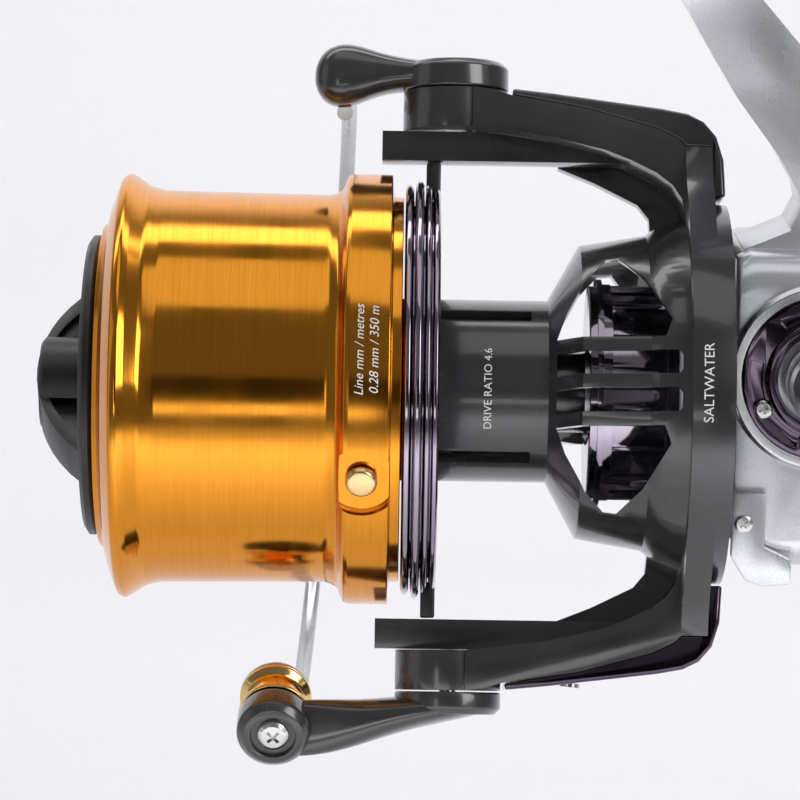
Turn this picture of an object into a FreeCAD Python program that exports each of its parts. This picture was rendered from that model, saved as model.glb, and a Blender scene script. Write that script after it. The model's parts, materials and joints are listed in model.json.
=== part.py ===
import FreeCAD, Part
import math
import os
import Sketcher
from FreeCAD import Placement, Rotation, Vector

# Spinning reel for surf fishing. Millimetres.
# Origin: centre of the foot's rod-side seat. +Z to the rod, +X to the rear, spool to -X,
# handle on -Y. Pieces are drawn with the main shaft on their own X axis and then lowered.

SIZES = [
    ("foot_height", 92.0), ("rest_turn", -15.5), ("fit", 0.05), ("gap", 0.3),
    ("shaft_r", 3.0), ("shaft_front", -97.6), ("shaft_back", 52.0), ("thread_r", 2.6),
    ("lip_r", 40.2), ("arbor_r", 36.8), ("skirt_r", 40.75), ("spool_wall", 2.2),
    ("front_x", -103.2), ("lip_x", -98.4), ("skirt_x", -56.6), ("skirt_end", -48.75),
    ("spool_hub_r", 11.0), ("drag_r", 22.5), ("drag_seat", -96.0),
    ("knob_r", 28.4), ("knob_bar_r", 22.0), ("bar_high", 9.9), ("bar_turn", 35.0),
    ("guard_x", -46.4), ("guard_r", 39.6), ("post_top", 43.2),
    ("rail_low", 43.5), ("rail_high", 49.1), ("rail_front", -51.0), ("rail_half", 3.2),
    ("neck_r", 17.25), ("neck_wall", 2.25), ("neck_front", -58.0), ("head_front", -19.3),
    ("rotor_r", 36.0), ("rotor_back", 14.0), ("rim_front", 6.2), ("wall", 2.3),
    ("arm_half", 10.0), ("pivot_x", -37.1), ("pivot_r", 10.0), ("arm_reach", 56.8),
    ("arm_gap", 0.3), ("wire_r", 1.55), ("loop_r", 59.0), ("loop_shift", 27.0),
    ("roller_x", -69.6), ("roller_z", -60.2), ("roller_tilt", 29.0), ("roller_r", 6.8),
    ("pinion_r", 5.6), ("clutch_r", 15.0), ("cover_r", 21.5), ("bearing_r", 11.0),
    ("drive_x", 31.0), ("drive_z", 8.0), ("gear_r", 13.0), ("axle_r", 4.5), ("axle_far_r", 3.2),
    ("swing_x", 50.0), ("swing_r", 18.0), ("module_", 1.0),
    ("case_front", 15.0), ("case_back", 81.5), ("case_half", 22.0), ("case_wall", 2.4),
    ("seam_y", -11.0), ("collar_r", 17.7), ("hub_r", 7.5), ("hub_end", -74.0),
    ("crank_length", 70.0), ("crank_wide", 6.0), ("crank_thick", 5.0),
    ("grip_r", 16.0), ("grip_long", 34.0), ("knob_axle_r", 3.0),
    ("foot_half", 38.0), ("foot_wide", 8.5), ("stem_half", 6.2), ("stem_root", 10.5),
]

doc = FreeCAD.newDocument("SpinningReel")
sheet = doc.addObject("Spreadsheet::Sheet", "Sizes")
pieces = []


class Size:
    """A number that remembers the sheet expression it came from."""

    def __init__(self, value, text):
        self.value = value
        self.text = text

    def __add__(self, other):
        return Size(self.value + number(other), "(%s + %s)" % (self.text, words(other)))

    def __radd__(self, other):
        return Size(number(other) + self.value, "(%s + %s)" % (words(other), self.text))

    def __sub__(self, other):
        return Size(self.value - number(other), "(%s - %s)" % (self.text, words(other)))

    def __rsub__(self, other):
        return Size(number(other) - self.value, "(%s - %s)" % (words(other), self.text))

    def __mul__(self, other):
        return Size(self.value * number(other), "(%s * %s)" % (self.text, words(other)))

    __rmul__ = __mul__

    def __truediv__(self, other):
        return Size(self.value / number(other), "(%s / %s)" % (self.text, words(other)))

    def __neg__(self):
        return Size(-self.value, "(0 - %s)" % self.text)


def number(item):
    return item.value if isinstance(item, Size) else float(item)


def words(item):
    return item.text if isinstance(item, Size) else "(%.6f)" % item


def bind(obj, prop, item):
    if isinstance(item, Size):
        obj.setExpression(prop, item.text)


class Table:
    pass


z = Table()
for row, (alias, value) in enumerate(SIZES, start=1):
    sheet.set("A%d" % row, alias.replace("_", " "))
    sheet.set("B%d" % row, str(value))
    sheet.setAlias("B%d" % row, alias)
    setattr(z, alias, Size(value, "Sizes." + alias))
doc.recompute()


def new_body(label):
    body = doc.addObject("PartDesign::Body", label)
    body.Label = label
    return body


def sketch_on(body, outlines, plane="XY_Plane", lift=0.0):
    """Sketch closed outlines on an origin plane: point lists, or (u, v, r) circles."""
    sketch = body.newObject("Sketcher::SketchObject", "outline")
    support = [item for item in body.Origin.OriginFeatures if item.Role == plane][0]
    sketch.AttachmentSupport = [(support, "")]
    sketch.MapMode = "FlatFace"
    sketch.AttachmentOffset = Placement(Vector(0, 0, number(lift)), Rotation())
    bind(sketch, "AttachmentOffset.Base.z", lift)
    for outline in outlines:
        if isinstance(outline, tuple):
            circle_in(sketch, outline)
        else:
            polygon_in(sketch, outline)
    return sketch


def hold(sketch, kind, axis, geo, pos, item):
    """Hold one coordinate of a sketch point."""
    if not isinstance(item, Size) and abs(item) < 1e-9:
        sketch.addConstraint(Sketcher.Constraint("PointOnObject", geo, pos, axis))
        return
    index = sketch.addConstraint(Sketcher.Constraint(kind, -1, 1, geo, pos, number(item)))
    bind(sketch, "Constraints[%d]" % index, item)


def circle_in(sketch, circle):
    u, v, r = circle
    ring = Part.Circle(Vector(number(u), number(v), 0), Vector(0, 0, 1), number(r))
    geo = sketch.addGeometry(ring, False)
    hold(sketch, "DistanceX", -2, geo, 3, u)
    hold(sketch, "DistanceY", -1, geo, 3, v)
    index = sketch.addConstraint(Sketcher.Constraint("Radius", geo, number(r)))
    bind(sketch, "Constraints[%d]" % index, r)


def polygon_in(sketch, points):
    first = sketch.GeometryCount
    spots = [Vector(number(u), number(v), 0) for u, v in points]
    count = len(spots)
    for i in range(count):
        sketch.addGeometry(Part.LineSegment(spots[i], spots[(i + 1) % count]), False)
    for i in range(count):
        after = first + (i + 1) % count
        sketch.addConstraint(Sketcher.Constraint("Coincident", first + i, 2, after, 1))
    for i, (u, v) in enumerate(points):
        hold(sketch, "DistanceX", -2, first + i, 1, u)
        hold(sketch, "DistanceY", -1, first + i, 1, v)


def turn(body, outlines, about="H_Axis", cut=False):
    sketch = sketch_on(body, outlines)
    kind = "PartDesign::Groove" if cut else "PartDesign::Revolution"
    feature = body.newObject(kind, "turned")
    feature.Profile = (sketch, [""])
    feature.ReferenceAxis = (sketch, [about])
    feature.Angle = 360
    return feature


def pad(body, outlines, plane, low, high, cut=False):
    """Pad or pocket outlines between two heights measured along the row axis."""
    start = -high if plane == "XZ_Plane" else low
    sketch = sketch_on(body, outlines, plane, start)
    feature = body.newObject("PartDesign::Pocket" if cut else "PartDesign::Pad", "padded")
    feature.Profile = (sketch, [""])
    span = high - low
    feature.Length = number(span)
    bind(feature, "Length", span)
    feature.Reversed = cut
    return feature


def ring_of(body, feature, count, axis="X_Axis"):
    """Repeat the last feature round an axis."""
    pattern = body.newObject("PartDesign::PolarPattern", "round")
    pattern.Originals = [feature]
    line = [item for item in body.Origin.OriginFeatures if item.Role == axis][0]
    pattern.Axis = (line, [""])
    pattern.Angle = 360
    pattern.Occurrences = count
    body.Tip = pattern
    return pattern


def smooth(body, radius, test):
    """Round the edges that a test picks."""
    doc.recompute()
    base = body.Tip
    edges = base.Shape.Edges
    names = ["Edge%d" % (i + 1) for i, edge in enumerate(edges) if test(edge)]
    feature = body.newObject("PartDesign::Fillet", "rounded")
    feature.Base = (base, names)
    feature.Radius = radius
    return feature


def cylinder(r, long, at, way):
    obj = doc.addObject("Part::Cylinder", "rod")
    obj.Radius = number(r)
    obj.Height = number(long)
    bind(obj, "Radius", r)
    bind(obj, "Height", long)
    stand(obj, at, Rotation(Vector(0, 0, 1), Vector(*way)))
    return obj


def cone(r1, r2, long, at, way):
    obj = doc.addObject("Part::Cone", "cone")
    obj.Radius1 = number(r1)
    obj.Radius2 = number(r2)
    obj.Height = number(long)
    stand(obj, at, Rotation(Vector(0, 0, 1), Vector(*way)))
    return obj


def stand(obj, at, rotation):
    obj.Placement = Placement(Vector(*[number(item) for item in at]), rotation)
    for letter, item in zip("xyz", at):
        bind(obj, "Placement.Base." + letter, item)


def fuse(parts, kind="Part::MultiFuse"):
    obj = doc.addObject(kind, "joined")
    obj.Shapes = parts
    return obj


def cut(base, tools):
    obj = doc.addObject("Part::Cut", "trimmed")
    obj.Base = base
    obj.Tool = tools[0] if len(tools) == 1 else fuse(tools)
    return obj


def finish(obj, label, spins=False, at=None):
    """Name a piece and lower it from the shaft frame to its place in the row."""
    obj.Label = label
    angle = z.rest_turn if spins else 0.0
    x, y, up = at if at else (0.0, 0.0, 0.0)
    spot = (x, y, up - z.foot_height)
    stand(obj, spot, Rotation(Vector(1, 0, 0), number(angle)))
    if spins:
        obj.setExpression("Placement.Rotation.Angle", "0 - Sizes.rest_turn")
        obj.Placement = Placement(obj.Placement.Base, Rotation(Vector(-1, 0, 0), -number(angle)))
    pieces.append(obj)
    return obj


def washer(label, x1, x2, r1, r2, spins=False):
    body = new_body(label)
    turn(body, [[(x1, r1), (x2, r1), (x2, r2), (x1, r2)]])
    return finish(body, label, spins)


def screw(label, r, long, head, at, way, spins=False, shank=0.0):
    """Countersunk-type screw: a crossed pan head on a short shank pointing inward."""
    spot = Vector(*[number(item) for item in at])
    out = Vector(*way).normalize()
    rotation = Rotation(Vector(0, 0, 1), out)
    top = doc.addObject("Part::Cylinder", "head")
    top.Radius = r
    top.Height = head
    top.Placement = Placement(spot, rotation)
    stem = doc.addObject("Part::Cylinder", "stem")
    stem.Radius = shank if shank else r * 0.5
    stem.Height = long
    stem.Placement = Placement(spot - out * long, rotation)
    solid = fuse([top, stem])
    slots = []
    for wide, deep in ((r * 1.2, r * 0.26), (r * 0.26, r * 1.2)):
        slot = doc.addObject("Part::Box", "slot")
        slot.Length = wide
        slot.Width = deep
        slot.Height = head
        corner = rotation.multVec(Vector(-wide / 2, -deep / 2, head * 0.45))
        slot.Placement = Placement(spot + corner, rotation)
        slots.append(slot)
    return finish(cut(solid, slots), label, spins)


# ---------------------------------------------------------------- spool and drag
def make_spool():
    body = new_body("spool_blank")
    inner = z.arbor_r - z.spool_wall
    turn(body, [[
        (z.front_x, z.drag_r), (z.front_x, 30.3), (z.front_x + 1.4, 31.0),
        (z.lip_x - 0.8, z.lip_r - 0.4), (z.lip_x, z.lip_r), (z.lip_x + 1.0, z.lip_r - 0.2),
        (z.lip_x + 5.0, z.arbor_r + 0.7), (z.lip_x + 6.2, z.arbor_r + 0.3),
        (z.skirt_x - 3.4, z.arbor_r - 0.2), (z.skirt_x - 1.6, z.arbor_r + 0.8),
        (z.skirt_x, z.skirt_r), (z.skirt_end, z.skirt_r), (z.skirt_end, 36.4),
        (z.guard_x - z.gap, 36.4), (z.guard_x - z.gap, inner),
        (z.drag_seat + 6.0, inner), (z.drag_seat + 4.5, inner - 1.5),
        (z.drag_seat + 4.5, z.spool_hub_r), (z.drag_seat + 34.0, z.spool_hub_r),
        (z.drag_seat + 34.0, z.shaft_r + 1.6), (z.drag_seat, z.shaft_r + 1.6),
        (z.drag_seat, z.drag_r)]])
    way = clip_way()
    pocket = cylinder(6.5, 6.0, [way[i] * 38.7 + (z.skirt_x + 2.9 if i == 0 else 0.0) for i in range(3)], way)
    hole = cylinder(1.2, 8.0, [way[i] * 33.0 + (z.skirt_x + 2.9 if i == 0 else 0.0) for i in range(3)], way)
    finish(cut(body, [pocket, hole]), "spool")


def clip_way():
    angle = math.radians(-14.0)
    return (0.0, -math.cos(angle), math.sin(angle))


def make_line_clip():
    way = clip_way()
    foot = [way[i] * 38.7 + (z.skirt_x + 2.9 if i == 0 else 0.0) for i in range(3)]
    stem = [way[i] * 35.0 + (z.skirt_x + 2.9 if i == 0 else 0.0) for i in range(3)]
    neck = cylinder(1.6, 0.8, foot, way)
    top = [way[i] * 39.3 + (z.skirt_x + 2.9 if i == 0 else 0.0) for i in range(3)]
    dome = cone(3.0, 2.3, 1.9, top, way)
    finish(fuse([neck, cylinder(1.2, 4.5, stem, way), dome]), "line_clip")


def make_drag():
    bush = z.shaft_r + z.fit
    washer("spool_bushing", z.drag_seat + 1.0, z.drag_seat + 33.0, bush, z.shaft_r + 1.6)
    x = z.drag_seat
    names = ["drag_felt_rear", "drag_plate", "drag_felt_front"]
    for i, name in enumerate(names):
        back = x - i * 1.1
        r = z.drag_r - 0.5
        washer(name, back - 1.1, back, z.shaft_r + 0.8, r)
    washer("drag_clip", x - 4.4, x - 3.5, z.drag_r - 2.5, z.drag_r)


def make_drag_knob():
    body = new_body("drag_knob")
    back = z.front_x - z.gap
    turn(body, [[
        (back, 12.0), (back, z.knob_r - 0.6), (back - 0.6, z.knob_r),
        (back - 1.7, z.knob_r), (back - 2.5, z.knob_r - 1.2), (back - 2.5, 9.0),
        (back - 10.6, 9.0), (back - 11.4, 8.0), (back - 11.4, 0.0),
        (back - 10.0, 0.0), (back - 10.0, z.thread_r + z.fit), (back + 1.4, z.thread_r + z.fit),
        (back + 1.4, 12.0)]])
    arch = []
    for i in range(17):
        r = -1.0 + i / 8.0
        high = math.sqrt(29.4 ** 2 - (22.0 * r) ** 2) - 19.5
        arch.append((back - 2.2 - z.bar_high * (high / 9.9), z.knob_bar_r * r))
    arch += [(back - 1.0, z.knob_bar_r), (back - 1.0, -z.knob_bar_r)]
    pad(body, [arch], "XY_Plane", -4.3, 4.3)
    pocket = [(x + 1.4, y * 0.86) for x, y in arch[1:16]]
    pocket += [(back - 2.5, z.knob_bar_r * 0.7), (back - 2.5, -z.knob_bar_r * 0.7)]
    for low, high in ((2.9, 4.4), (-4.4, -2.9)):
        pad(body, [pocket], "XY_Plane", low, high, cut=True)
    bore = [(back - 10.0, 0.0), (back - 10.0, z.thread_r + z.fit), (back + 2.0, z.thread_r + z.fit),
            (back + 2.0, 0.0)]
    turn(body, [bore], cut=True)
    doc.recompute()
    finish(body, "drag_knob")
    body.Placement = Placement(body.Placement.Base, Rotation(Vector(1, 0, 0), z.bar_turn.value))
    body.setExpression("Placement.Rotation.Angle", "Sizes.bar_turn")


def make_shaft():
    body = new_body("main_shaft")
    tip = z.front_x - 8.0
    turn(body, [[
        (tip, 0.0), (tip, z.thread_r - 0.4), (tip + 0.5, z.thread_r), (z.shaft_front, z.thread_r),
        (z.shaft_front, z.shaft_r), (z.shaft_back - 0.6, z.shaft_r),
        (z.shaft_back, z.shaft_r - 0.6), (z.shaft_back, 0.0)]])
    finish(body, "main_shaft")
    seat = new_body("spool_seat")
    x = z.drag_seat + 34.3
    turn(seat, [[(x, z.shaft_r), (x + 4.0, z.shaft_r), (x + 4.0, 6.5), (x + 1.5, 9.5), (x, 9.5)]])
    finish(seat, "spool_seat")
    click = new_body("click_gear")
    turn(click, [[(x + 4.0, z.shaft_r), (x + 6.0, z.shaft_r), (x + 6.0, 8.0), (x + 4.0, 8.0)]])
    notch = pad(click, [[(7.1, -0.6), (8.6, -0.9), (8.6, 0.9), (7.1, 0.6)]], "YZ_Plane",
                x + 3.5, x + 6.5, cut=True)
    ring_of(click, notch, 18)
    finish(click, "click_gear")


# ---------------------------------------------------------------- line guard
def make_guard():
    body = new_body("line_guard")
    x = z.guard_x
    bore = z.neck_r + z.gap
    outline = [(x, bore), (x, z.guard_r - 0.9), (x + 0.4, z.guard_r - 0.7)]
    for start, end, r in ((0.9, 1.5, -0.7), (1.9, 3.4, 0.0), (3.8, 4.9, -0.8), (5.3, 6.4, -1.4)):
        outline += [(x + start, z.guard_r + r), (x + end, z.guard_r + r), (x + end + 0.2, z.guard_r - 2.0)]
    outline += [(x + 6.6, 35.6), (x + 2.2, 35.0), (x + 1.8, 22.0), (x + 5.5, 19.6), (x + 5.5, bore)]
    turn(body, [outline])
    for side in (1, -1):
        low, high = (35.8, z.post_top) if side > 0 else (-z.post_top, -35.8)
        box = [(x + 3.9, -2.6), (x + 6.6, -2.6), (x + 6.6, 2.6), (x + 3.9, 2.6)]
        pad(body, [box], "XY_Plane", low, high)
    for angle in (50.5, 129.5, 230.5, 309.5):
        key_at(body, x, angle)
    finish(body, "line_guard", spins=True)


def key_at(body, x, angle):
    """Key that slides in one neck slot."""
    c, s_ = math.cos(math.radians(angle)), math.sin(math.radians(angle))
    low, high = z.neck_r - 1.9, z.neck_r + 1.5
    corners = [(low, -1.2), (high, -1.2), (high, 1.2), (low, 1.2)]
    pad(body, [[(r * c - w * s_, r * s_ + w * c) for r, w in corners]], "YZ_Plane", x + 0.5, x + 3.6)


# ---------------------------------------------------------------- rotor
def flare_outline(side):
    """Outline, seen along the shaft, of the web that spreads an arm into the rim."""
    half = [(10.0, 46.0), (11.2, 42.0), (14.0, 38.5), (18.5, 34.5), (25.4, 25.4)]
    return [(u, v * side) for u, v in half + [(-u, v) for u, v in half[::-1]]]


def make_rotor():
    body = new_body("rotor")
    bore = z.pinion_r + 0.0
    wall = z.wall
    hf = z.head_front
    turn(body, [[
        (z.neck_front, z.neck_r - z.neck_wall), (z.neck_front, z.neck_r), (hf, z.neck_r),
        (hf + 5.85, 27.8), (-1.0, 29.9), (1.0, 31.4), (z.rim_front, 33.2),
        (z.rim_front, z.rotor_r), (z.rotor_back, z.rotor_r), (z.rotor_back, z.rotor_r - wall),
        (z.rim_front + 1.4, z.rotor_r - wall), (z.rim_front, 33.2 - wall),
        (1.0, 31.4 - wall), (-1.0, 29.9 - wall), (hf + 7.0, 27.8 - wall),
        (hf + 2.4, z.neck_r), (hf + 0.6, z.neck_r - z.neck_wall), (hf + 0.6, 7.6),
        (hf + 7.2, 7.6), (hf + 7.2, bore), (hf - 2.7, bore), (hf - 2.7, z.neck_r - z.neck_wall)]])
    inner = [(-28.3, 48.7), (-18.6, 47.3), (-8.9, 45.1), (-4.0, 43.2), (0.8, 40.9), (3.8, 38.6),
             (5.5, 36.1), (6.3, 33.2)]
    outer = [(10.4, 33.0), (9.8, 37.0), (8.8, 41.6), (7.2, 45.0), (5.0, 47.3), (0.8, 49.3),
             (-6.0, 51.1), (-12.8, 53.0), (-18.7, 54.0), (-27.0, 55.3), (-30.0, 56.3), (-34.0, 56.8)]
    arm = inner[::-1] + [(-34.0, 49.3)] + outer[::-1]
    for side in (1, -1):
        shape = [(u, v * side) for u, v in arm]
        pad(body, [shape], "XZ_Plane", -z.arm_half, z.arm_half)
        low, high = (49.3, z.arm_reach) if side > 0 else (-z.arm_reach, -49.3)
        pad(body, [(z.pivot_x, 0.0, z.pivot_r)], "XY_Plane", low, high)
        rail = [(z.rail_front, z.rail_low * side), (3.0, z.rail_low * side),
                (3.0, z.rail_high * side), (z.rail_front, z.rail_high * side)]
        pad(body, [rail], "XZ_Plane", -z.rail_half, z.rail_half)
        trough = [(-26.0, 50.6), (-18.0, 49.2), (-6.0, 46.9), (1.6, 43.9), (5.6, 40.2), (7.4, 36.9),
                  (12.0, 36.9), (12.0, 60.0), (-26.0, 60.0)]
        pad(body, [[(u, v * side) for u, v in trough]], "XZ_Plane", -7.4, 7.4, cut=True)
        low, high = (45.0, 60.0) if side > 0 else (-60.0, -45.0)
        pad(body, [(z.pivot_x, 0.0, 1.6)], "XY_Plane", low, high, cut=True)
        pad(body, [flare_outline(side)], "YZ_Plane", z.rim_front, z.rim_front + 5.0)
        gusset = [(-17.2, 45.0), (-17.2, 43.6), (-10.0, 40.7), (-1.9, 36.7), (0.3, 34.0), (0.8, 28.5),
                  (z.rim_front + 0.5, 28.5), (z.rim_front + 0.5, 37.5), (0.8, 42.0), (-8.9, 46.0)]
        pad(body, [[(u, v * side) for u, v in gusset]], "XZ_Plane", 5.6, z.arm_half - 0.2)
    inside = z.rotor_r - wall
    turn(body, [[(z.rim_front + 1.4, 0.0), (z.rim_front + 1.4, inside), (z.rotor_back + 1.0, inside),
                 (z.rotor_back + 1.0, 0.0)]], cut=True)
    turn(body, [[(-1.0, 9.0), (-1.0, 29.9 - wall), (1.0, 31.4 - wall), (z.rim_front, 33.2 - wall),
                 (z.rim_front + 1.6, 33.2 - wall), (z.rim_front + 1.6, 9.0)]], cut=True)
    back = [(-17.9, 1.25), (4.0, 1.25), (4.7, 2.2), (4.7, 4.7), (4.0, 5.65), (-17.9, 5.65)]
    fan = [(-17.9, 8.15), (-16.2, 13.0), (-12.5, 20.0), (-9.0, 23.5), (-6.5, 23.8), (-2.0, 19.5),
           (2.7, 11.5), (1.5, 8.15)]
    for outline in (back, fan):
        for side in (1, -1):
            pad(body, [[(u, v * side) for u, v in outline]], "XZ_Plane", -34.0, -9.0, cut=True)
            pad(body, [[(u, v * side) for u, v in outline]], "XZ_Plane", 9.0, 34.0, cut=True)
    for angle in (50.5, 129.5, 230.5, 309.5):
        slot_at(body, angle)
    finish(body, "rotor", spins=True)


def slot_at(body, angle):
    c, s_ = math.cos(math.radians(angle)), math.sin(math.radians(angle))
    corners = [(13.0, -1.5), (19.5, -1.5), (19.5, 1.5), (13.0, 1.5)]
    pad(body, [[(r * c - w * s_, r * s_ + w * c) for r, w in corners]], "YZ_Plane",
        z.neck_front - 1.0, z.head_front - 3.2, cut=True)


def make_arm_covers():
    seat = [(10.4, 36.6), (9.8, 37.2), (8.8, 41.6), (7.2, 45.0), (5.0, 47.3), (0.8, 49.3), (-6.0, 51.1),
            (-12.8, 53.0), (-18.7, 54.0), (-26.5, 55.3)]
    crown = [(-26.5, 56.6), (-18.7, 55.8), (-6.0, 54.2), (1.8, 53.2), (6.6, 52.3), (9.6, 50.8),
             (12.0, 48.0), (13.4, 43.5), (13.8, 36.6)]
    for side, label in ((-1, "arm_cover_lower"), (1, "arm_cover_upper")):
        body = new_body(label)
        pad(body, [[(u, v * side) for u, v in seat + crown]], "XZ_Plane", -z.arm_half + 0.2, z.arm_half - 0.2)
        smooth(body, 0.8, lambda edge: follows(edge, crown[1:], side))
        pad(body, [flare_outline(side)], "YZ_Plane", z.rim_front - 0.3, z.rim_front + 5.0, cut=True)
        finish(body, label, spins=True)
        screw("cover_screw_" + label[10:], 1.9, 2.3, 0.7, (-14.0, 0.0, side * 55.15), (0.1 * side, 0, side), True)


def follows(edge, crown, side):
    """True for an edge that runs between two neighbouring points of the crown."""
    if len(edge.Vertexes) != 2 or abs(abs(edge.CenterOfMass.y) - 9.8) > 0.01:
        return False
    spots = [Vector(u, 0, v * side) for u, v in crown]
    ends = [Vector(vertex.Point.x, 0, vertex.Point.z) for vertex in edge.Vertexes]
    return all(min(end.distanceToPoint(spot) for spot in spots) < 0.01 for end in ends)


def make_rotor_core():
    body = new_body("pinion_gear")
    tip = z.head_front - 8.0
    r = z.pinion_r
    turn(body, [[(tip, z.shaft_r + z.fit), (tip, r - 0.5), (tip + 0.5, r), (17.5, r), (17.5, r + 0.9),
                 (26.0, r + 0.9), (26.0, z.shaft_r + z.fit)]])
    notch = pad(body, [[(r - 0.6, -0.9), (r + 1.2, -1.5), (r + 1.2, 1.5), (r - 0.6, 0.9)]], "YZ_Plane",
                17.6, 26.5, cut=True)
    ring_of(body, notch, 10)
    finish(body, "pinion_gear", spins=True)
    washer("rotor_washer", z.head_front - 3.4, z.head_front - 2.7, z.pinion_r, 10.0, True)
    nut = new_body("rotor_nut")
    side = [(9.2 * math.cos(math.radians(60 * i)), 9.2 * math.sin(math.radians(60 * i))) for i in range(6)]
    pad(nut, [side, (0.0, 0.0, z.pinion_r)], "YZ_Plane", z.head_front - 7.6, z.head_front - 3.4)
    finish(nut, "rotor_nut", spins=True)
    washer("clutch_sleeve", z.head_front + 7.2, 3.2, z.pinion_r, 8.5, True)
    spring = doc.addObject("Part::Helix", "bail_coil")
    spring.Pitch = 1.3
    spring.Height = 13.0
    spring.Radius = 1.45
    coil = doc.addObject("Part::Feature", "bail_spring_coil")
    doc.recompute()
    path = Part.Wire(spring.Shape.Edges)
    profile = Part.Wire([Part.Circle(Vector(1.45, 0, 0), Vector(0, 1, 0.14), 0.35).toShape()])
    solid = path.makePipeShell([profile], True, True)
    place = Placement(Vector(-8.0, 0, 49.4), Rotation(Vector(0, 1, 0), -78.0))
    coil.Shape = solid.transformGeometry(place.toMatrix())
    finish(coil, "bail_spring", spins=True)


# ---------------------------------------------------------------- bail
def make_bail():
    reach = z.arm_reach + z.arm_gap
    px = z.pivot_x
    upper = new_body("upper_blank")
    pad(upper, [(px, 0.0, z.pivot_r)], "XY_Plane", reach, reach + 5.4)
    plan = [(px, -9.4), (px - 9.0, -6.4), (px - 21.0, -4.6), (px - 21.0, 4.6), (px - 9.0, 6.4), (px, 9.4)]
    pad(upper, [plan], "XY_Plane", reach + 0.6, reach + 5.0)
    pad(upper, [(px, 0.0, 1.6)], "XY_Plane", reach - 1.0, reach + 8.0, cut=True)
    for r, half in ((6.0, 3.6), (5.2, 5.0), (3.6, 6.0)):
        pad(upper, [(px - 21.2, 0.0, r)], "XY_Plane", reach + 2.7 - half, reach + 2.7 + half)
    finish(upper, "bail_arm_upper", spins=True)
    lower = new_body("lower_blank")
    pad(lower, [(px, 0.0, z.pivot_r)], "XY_Plane", -reach - 4.2, -reach)
    side = [(px + 6.0, -reach - 0.3), (px - 9.0, -reach - 0.3), (-62.0, -58.3), (-68.0, -59.4),
            (-75.6, -62.2), (-76.6, -65.6), (-75.0, -70.2), (-70.4, -72.4), (-62.0, -71.0),
            (-50.0, -66.4), (px + 2.0, -reach - 4.0), (px + 6.0, -reach - 3.4)]
    pad(lower, [side], "XZ_Plane", -8.4, -1.6)
    neck = [(px + 4.0, -9.0), (px - 10.0, -8.4), (px - 18.0, -8.4), (px - 18.0, -1.6), (px, 8.0)]
    pad(lower, [neck], "XY_Plane", -reach - 4.0, -reach - 0.3)
    pad(lower, [(px, 0.0, 1.6)], "XY_Plane", -reach - 8.0, -reach + 1.0, cut=True)
    way = roller_way()
    recess = cylinder(4.15, 6.0, roller_point(-9.2 - 6.0 + 2.0), way)
    hole = cylinder(1.5, 30.0, roller_point(-15.0), way)
    room = cylinder(z.roller_r + 0.5, 12.0, roller_point(-5.2), way)
    finish(cut(lower, [recess, hole, room]), "bail_arm_lower", spins=True)
    wire = doc.addObject("Part::Torus", "wire")
    wire.Radius1 = z.loop_r.value
    wire.Radius2 = z.wire_r.value
    bind(wire, "Radius1", z.loop_r)
    bind(wire, "Radius2", z.wire_r)
    wire.Angle3 = 224.3
    flat = Rotation(Vector(0, 1, 0), 90).multiply(Rotation(Vector(0, 0, 1), -18.8))
    tilt = Rotation(Vector(0, 1, 0), 4.0)
    stand(wire, (-62.0, z.loop_shift, 0.0), tilt.multiply(flat))
    trim = box_at(20.0, 6.0, 20.0, (-68.0, -3.0, 44.0))
    finish(cut(wire, [trim]), "bail_wire", spins=True)


def roller_way():
    angle = math.radians(z.roller_tilt.value)
    return (0.0, math.cos(angle), math.sin(angle))


def roller_point(along):
    """Point on the roller axis; 0 is the roller's middle."""
    way = roller_way()
    return (z.roller_x, way[1] * along + 1.2, z.roller_z + way[2] * along)


def make_roller():
    way = roller_way()
    drum = fuse([cylinder(z.roller_r - 1.4, 6.0, roller_point(-3.0), way),
                 cone(z.roller_r, z.roller_r - 1.4, 1.6, roller_point(-4.4), way),
                 cone(z.roller_r - 1.4, z.roller_r, 1.6, roller_point(2.2), way)])
    bore = cylinder(2.3, 20.0, roller_point(-10.0), way)
    finish(cut(drum, [bore]), "line_roller", spins=True)
    sleeve = cylinder(2.25, 9.0, roller_point(-4.8), way)
    finish(cut(sleeve, [cylinder(1.5, 30.0, roller_point(-15.0), way)]), "roller_sleeve", spins=True)
    cap = cone(6.6, 2.4, 9.0, roller_point(4.2), way)
    finish(cut(cap, [cylinder(1.5, 8.0, roller_point(0.0), way)]), "bail_cone", spins=True)
    screw("roller_screw", 3.0, 17.0, 1.0, roller_point(-9.2 + 0.0), [-item for item in way], True, 1.5)
    for side, name in ((1, "upper"), (-1, "lower")):
        base = (z.arm_reach.value + z.arm_gap.value + (5.4 if side > 0 else 4.2)) * side
        screw("pivot_screw_" + name, 3.4, 11.0, 0.9, (z.pivot_x, 0.0, base), (0, 0, side), True, 1.6)


# ---------------------------------------------------------------- fixed front parts
def make_clutch():
    body = new_body("clutch_cover")
    turn(body, [[
        (-11.6, 9.2), (-11.6, 20.2), (-10.3, 20.2), (-10.3, z.cover_r), (-9.2, z.cover_r),
        (-9.2, 20.6), (-7.5, 20.6), (-7.5, 19.5), (2.6, 19.5), (2.6, 17.2), (5.0, 17.2),
        (5.0, z.clutch_r + 0.0), (-9.4, z.clutch_r + 0.0), (-9.4, 9.2)]])
    rib = pad(body, [[(19.0, -0.8), (20.5, -0.8), (20.5, 0.8), (19.0, 0.8)]], "YZ_Plane", -7.5, 2.6)
    ring_of(body, rib, 16)
    finish(body, "clutch_cover")
    washer("one_way_clutch", -9.0, 2.8, 8.5 + z.fit, z.clutch_r)
    washer("pinion_bearing", 5.6, 11.6, z.pinion_r + z.fit, z.bearing_r)


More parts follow.
